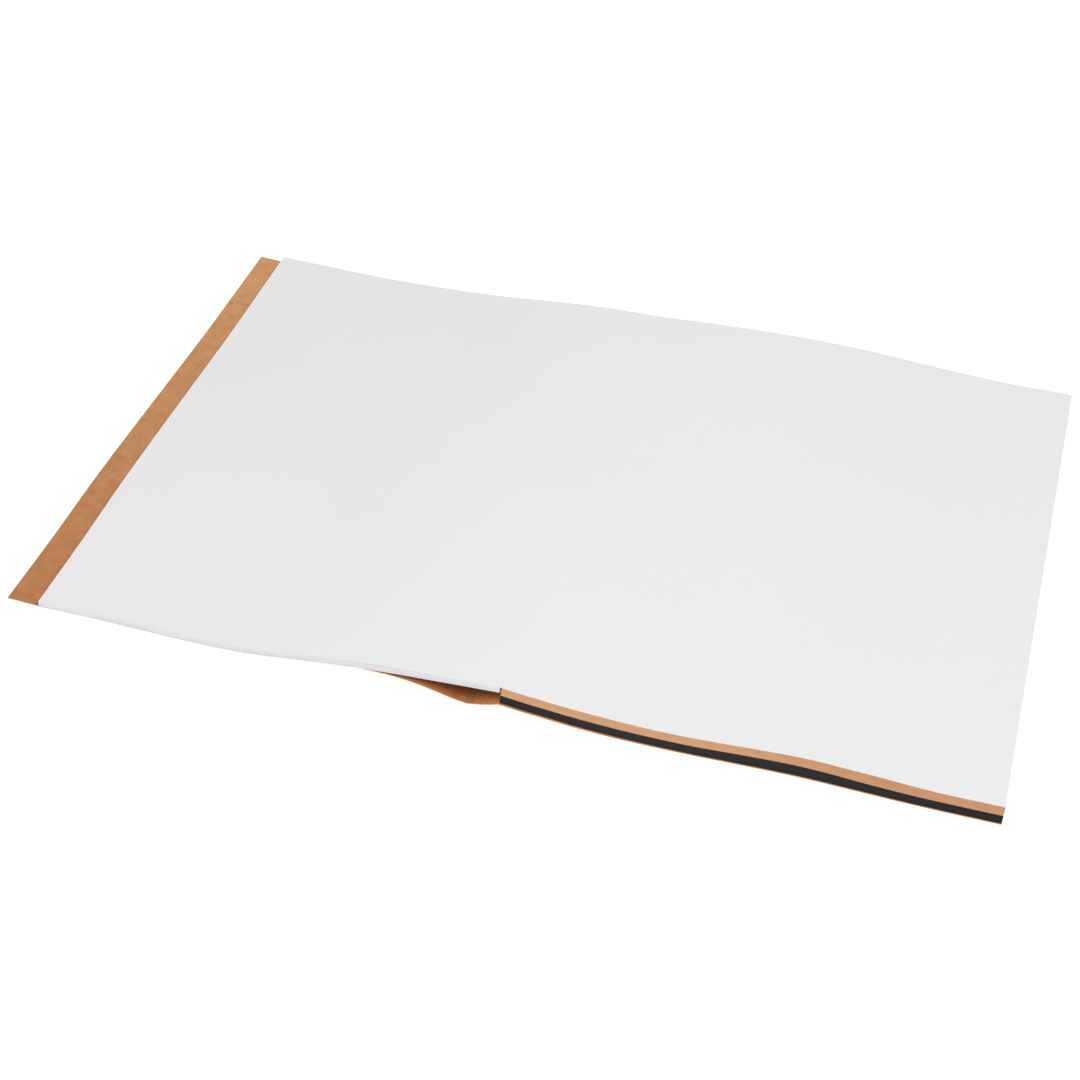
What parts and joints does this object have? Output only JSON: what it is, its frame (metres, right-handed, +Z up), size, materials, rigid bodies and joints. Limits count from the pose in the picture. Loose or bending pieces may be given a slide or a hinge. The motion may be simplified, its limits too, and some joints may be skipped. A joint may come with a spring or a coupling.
{
  "type": "scrapbook album",
  "caption": "Soft-cover A4 kraft scrapbook album lying open, with turning leaves of white, kraft and black paper and a folding card cover.",
  "frame": {"origin": "on the table, under the middle of the open book", "axes": "+X across the open book towards the right-hand fore-edge, +Y along the spine away from the near edge, +Z up"},
  "size_m": [0.4314, 0.297, 0.0129],
  "materials": {
    "white_paper": "uncoated white card paper, matt",
    "kraft_paper": "uncoated brown kraft paper, matt",
    "black_paper": "uncoated black paper, matt",
    "kraft_cover": "uncoated kraft card with fine fibre mottle",
    "binding_glue": "dried flexible binding glue",
    "lining_paper": "thin brown lining paper"
  },
  "bodies": {
    "back_block": {"back_cover_panel": "kraft_cover", "side_glue_strip": "binding_glue", "spine_glue_back": "binding_glue", "spine_lining": "lining_paper", "black_leaf_15": "black_paper"},
    "spine_cover": {"spine_cover_panel": "kraft_cover"},
    "front_cover": {"front_cover_panel": "kraft_cover"},
    "front_leaves": {"white_leaf_01": "white_paper", "white_leaf_02": "white_paper", "spine_glue_front": "binding_glue"},
    "leaf_03": {"white_leaf_03": "white_paper"},
    "leaf_04": {"white_leaf_04": "white_paper"},
    "leaf_05": {"white_leaf_05": "white_paper"},
    "leaf_06": {"white_leaf_06": "white_paper"},
    "leaf_07": {"white_leaf_07": "white_paper"},
    "leaf_08": {"white_leaf_08": "white_paper"},
    "leaf_09": {"white_leaf_09": "white_paper"},
    "leaf_10": {"white_leaf_10": "white_paper"},
    "leaf_11": {"white_leaf_11": "white_paper"},
    "leaf_12": {"white_leaf_12": "white_paper"},
    "leaf_13": {"white_leaf_13": "white_paper"},
    "leaf_14": {"white_leaf_14": "white_paper"},
    "leaf_15": {"white_leaf_15": "white_paper"},
    "leaf_16": {"kraft_leaf_01": "kraft_paper"},
    "leaf_17": {"kraft_leaf_02": "kraft_paper"},
    "leaf_18": {"kraft_leaf_03": "kraft_paper"},
    "leaf_19": {"kraft_leaf_04": "kraft_paper"},
    "leaf_20": {"kraft_leaf_05": "kraft_paper"},
    "leaf_21": {"kraft_leaf_06": "kraft_paper"},
    "leaf_22": {"kraft_leaf_07": "kraft_paper"},
    "leaf_23": {"kraft_leaf_08": "kraft_paper"},
    "leaf_24": {"kraft_leaf_09": "kraft_paper"},
    "leaf_25": {"kraft_leaf_10": "kraft_paper"},
    "leaf_26": {"kraft_leaf_11": "kraft_paper"},
    "leaf_27": {"kraft_leaf_12": "kraft_paper"},
    "leaf_28": {"kraft_leaf_13": "kraft_paper"},
    "leaf_29": {"kraft_leaf_14": "kraft_paper"},
    "leaf_30": {"kraft_leaf_15": "kraft_paper"},
    "leaf_31": {"black_leaf_01": "black_paper"},
    "leaf_32": {"black_leaf_02": "black_paper"},
    "leaf_33": {"black_leaf_03": "black_paper"},
    "leaf_34": {"black_leaf_04": "black_paper"},
    "leaf_35": {"black_leaf_05": "black_paper"},
    "leaf_36": {"black_leaf_06": "black_paper"},
    "leaf_37": {"black_leaf_07": "black_paper"},
    "leaf_38": {"black_leaf_08": "black_paper"},
    "leaf_39": {"black_leaf_09": "black_paper"},
    "leaf_40": {"black_leaf_10": "black_paper"},
    "leaf_41": {"black_leaf_11": "black_paper"},
    "leaf_42": {"black_leaf_12": "black_paper"},
    "leaf_43": {"black_leaf_13": "black_paper"},
    "leaf_44": {"black_leaf_14": "black_paper"}
  },
  "joints": [
    {"name": "cover_fold", "type": "hinge", "parent": "back_block", "child": "spine_cover", "pos_m": [0.00636, 0, 0.0038], "axis": [0, -1, 0], "range_deg": [-101.9, 0]},
    {"name": "front_cover_fold", "type": "hinge", "parent": "spine_cover", "child": "front_cover", "pos_m": [-0.00716, 0, 0.0002], "axis": [0, -1, 0], "range_deg": [-78.6, 0]},
    {"name": "front_leaves_fold", "type": "hinge", "parent": "back_block", "child": "front_leaves", "pos_m": [0.00716, 0, 0.01295], "axis": [0, -1, 0], "range_deg": [-183, 0]},
    {"name": "leaf_03_turn", "type": "hinge", "parent": "front_leaves", "child": "leaf_03", "pos_m": [0.00716, 0, 0.01295], "axis": [0, 1, 0], "range_deg": [0, 180]},
    {"name": "leaf_04_turn", "type": "hinge", "parent": "leaf_03", "child": "leaf_04", "pos_m": [0.00716, 0, 0.01295], "axis": [0, 1, 0], "range_deg": [0, 180]},
    {"name": "leaf_05_turn", "type": "hinge", "parent": "leaf_04", "child": "leaf_05", "pos_m": [0.00716, 0, 0.01295], "axis": [0, 1, 0], "range_deg": [0, 180]},
    {"name": "leaf_06_turn", "type": "hinge", "parent": "leaf_05", "child": "leaf_06", "pos_m": [0.00716, 0, 0.01295], "axis": [0, 1, 0], "range_deg": [0, 180]},
    {"name": "leaf_07_turn", "type": "hinge", "parent": "leaf_06", "child": "leaf_07", "pos_m": [0.00716, 0, 0.01295], "axis": [0, 1, 0], "range_deg": [0, 180]},
    {"name": "leaf_08_turn", "type": "hinge", "parent": "leaf_07", "child": "leaf_08", "pos_m": [0.00716, 0, 0.01295], "axis": [0, 1, 0], "range_deg": [0, 180]},
    {"name": "leaf_09_turn", "type": "hinge", "parent": "leaf_08", "child": "leaf_09", "pos_m": [0.00716, 0, 0.01295], "axis": [0, 1, 0], "range_deg": [0, 180]},
    {"name": "leaf_10_turn", "type": "hinge", "parent": "leaf_09", "child": "leaf_10", "pos_m": [0.00716, 0, 0.01295], "axis": [0, 1, 0], "range_deg": [0, 180]},
    {"name": "leaf_11_turn", "type": "hinge", "parent": "leaf_10", "child": "leaf_11", "pos_m": [0.00716, 0, 0.01295], "axis": [0, 1, 0], "range_deg": [0, 180]},
    {"name": "leaf_12_turn", "type": "hinge", "parent": "leaf_11", "child": "leaf_12", "pos_m": [0.00716, 0, 0.01295], "axis": [0, 1, 0], "range_deg": [0, 180]},
    {"name": "leaf_13_turn", "type": "hinge", "parent": "leaf_12", "child": "leaf_13", "pos_m": [0.00716, 0, 0.01295], "axis": [0, 1, 0], "range_deg": [0, 180]},
    {"name": "leaf_14_turn", "type": "hinge", "parent": "leaf_13", "child": "leaf_14", "pos_m": [0.00716, 0, 0.01295], "axis": [0, 1, 0], "range_deg": [0, 180]},
    {"name": "leaf_44_turn", "type": "hinge", "parent": "back_block", "child": "leaf_44", "pos_m": [0.00716, 0, 0.01295], "axis": [0, -1, 0], "range_deg": [0, 180]},
    {"name": "leaf_43_turn", "type": "hinge", "parent": "leaf_44", "child": "leaf_43", "pos_m": [0.00716, 0, 0.01295], "axis": [0, -1, 0], "range_deg": [0, 180]},
    {"name": "leaf_42_turn", "type": "hinge", "parent": "leaf_43", "child": "leaf_42", "pos_m": [0.00716, 0, 0.01295], "axis": [0, -1, 0], "range_deg": [0, 180]},
    {"name": "leaf_41_turn", "type": "hinge", "parent": "leaf_42", "child": "leaf_41", "pos_m": [0.00716, 0, 0.01295], "axis": [0, -1, 0], "range_deg": [0, 180]},
    {"name": "leaf_40_turn", "type": "hinge", "parent": "leaf_41", "child": "leaf_40", "pos_m": [0.00716, 0, 0.01295], "axis": [0, -1, 0], "range_deg": [0, 180]},
    {"name": "leaf_39_turn", "type": "hinge", "parent": "leaf_40", "child": "leaf_39", "pos_m": [0.00716, 0, 0.01295], "axis": [0, -1, 0], "range_deg": [0, 180]},
    {"name": "leaf_38_turn", "type": "hinge", "parent": "leaf_39", "child": "leaf_38", "pos_m": [0.00716, 0, 0.01295], "axis": [0, -1, 0], "range_deg": [0, 180]},
    {"name": "leaf_37_turn", "type": "hinge", "parent": "leaf_38", "child": "leaf_37", "pos_m": [0.00716, 0, 0.01295], "axis": [0, -1, 0], "range_deg": [0, 180]},
    {"name": "leaf_36_turn", "type": "hinge", "parent": "leaf_37", "child": "leaf_36", "pos_m": [0.00716, 0, 0.01295], "axis": [0, -1, 0], "range_deg": [0, 180]},
    {"name": "leaf_35_turn", "type": "hinge", "parent": "leaf_36", "child": "leaf_35", "pos_m": [0.00716, 0, 0.01295], "axis": [0, -1, 0], "range_deg": [0, 180]},
    {"name": "leaf_34_turn", "type": "hinge", "parent": "leaf_35", "child": "leaf_34", "pos_m": [0.00716, 0, 0.01295], "axis": [0, -1, 0], "range_deg": [0, 180]},
    {"name": "leaf_33_turn", "type": "hinge", "parent": "leaf_34", "child": "leaf_33", "pos_m": [0.00716, 0, 0.01295], "axis": [0, -1, 0], "range_deg": [0, 180]},
    {"name": "leaf_32_turn", "type": "hinge", "parent": "leaf_33", "child": "leaf_32", "pos_m": [0.00716, 0, 0.01295], "axis": [0, -1, 0], "range_deg": [0, 180]},
    {"name": "leaf_31_turn", "type": "hinge", "parent": "leaf_32", "child": "leaf_31", "pos_m": [0.00716, 0, 0.01295], "axis": [0, -1, 0], "range_deg": [0, 180]},
    {"name": "leaf_30_turn", "type": "hinge", "parent": "leaf_31", "child": "leaf_30", "pos_m": [0.00716, 0, 0.01295], "axis": [0, -1, 0], "range_deg": [0, 180]},
    {"name": "leaf_29_turn", "type": "hinge", "parent": "leaf_30", "child": "leaf_29", "pos_m": [0.00716, 0, 0.01295], "axis": [0, -1, 0], "range_deg": [0, 180]},
    {"name": "leaf_28_turn", "type": "hinge", "parent": "leaf_29", "child": "leaf_28", "pos_m": [0.00716, 0, 0.01295], "axis": [0, -1, 0], "range_deg": [0, 180]},
    {"name": "leaf_27_turn", "type": "hinge", "parent": "leaf_28", "child": "leaf_27", "pos_m": [0.00716, 0, 0.01295], "axis": [0, -1, 0], "range_deg": [0, 180]},
    {"name": "leaf_26_turn", "type": "hinge", "parent": "leaf_27", "child": "leaf_26", "pos_m": [0.00716, 0, 0.01295], "axis": [0, -1, 0], "range_deg": [0, 180]},
    {"name": "leaf_25_turn", "type": "hinge", "parent": "leaf_26", "child": "leaf_25", "pos_m": [0.00716, 0, 0.01295], "axis": [0, -1, 0], "range_deg": [0, 180]},
    {"name": "leaf_24_turn", "type": "hinge", "parent": "leaf_25", "child": "leaf_24", "pos_m": [0.00716, 0, 0.01295], "axis": [0, -1, 0], "range_deg": [0, 180]},
    {"name": "leaf_23_turn", "type": "hinge", "parent": "leaf_24", "child": "leaf_23", "pos_m": [0.00716, 0, 0.01295], "axis": [0, -1, 0], "range_deg": [0, 180]},
    {"name": "leaf_22_turn", "type": "hinge", "parent": "leaf_23", "child": "leaf_22", "pos_m": [0.00716, 0, 0.01295], "axis": [0, -1, 0], "range_deg": [0, 180]},
    {"name": "leaf_21_turn", "type": "hinge", "parent": "leaf_22", "child": "leaf_21", "pos_m": [0.00716, 0, 0.01295], "axis": [0, -1, 0], "range_deg": [0, 180]},
    {"name": "leaf_20_turn", "type": "hinge", "parent": "leaf_21", "child": "leaf_20", "pos_m": [0.00716, 0, 0.01295], "axis": [0, -1, 0], "range_deg": [0, 180]},
    {"name": "leaf_19_turn", "type": "hinge", "parent": "leaf_20", "child": "leaf_19", "pos_m": [0.00716, 0, 0.01295], "axis": [0, -1, 0], "range_deg": [0, 180]},
    {"name": "leaf_18_turn", "type": "hinge", "parent": "leaf_19", "child": "leaf_18", "pos_m": [0.00716, 0, 0.01295], "axis": [0, -1, 0], "range_deg": [0, 180]},
    {"name": "leaf_17_turn", "type": "hinge", "parent": "leaf_18", "child": "leaf_17", "pos_m": [0.00716, 0, 0.01295], "axis": [0, -1, 0], "range_deg": [0, 180]},
    {"name": "leaf_16_turn", "type": "hinge", "parent": "leaf_17", "child": "leaf_16", "pos_m": [0.00716, 0, 0.01295], "axis": [0, -1, 0], "range_deg": [0, 180]},
    {"name": "leaf_15_turn", "type": "hinge", "parent": "leaf_16", "child": "leaf_15", "pos_m": [0.00716, 0, 0.01295], "axis": [0, -1, 0], "range_deg": [0, 180]}
  ],
  "couplings": [
    {"joint": "front_cover_fold", "follows": "cover_fold", "ratio": 0.7713},
    {"joint": "front_leaves_fold", "follows": "cover_fold", "ratio": 1.7955}
  ]
}
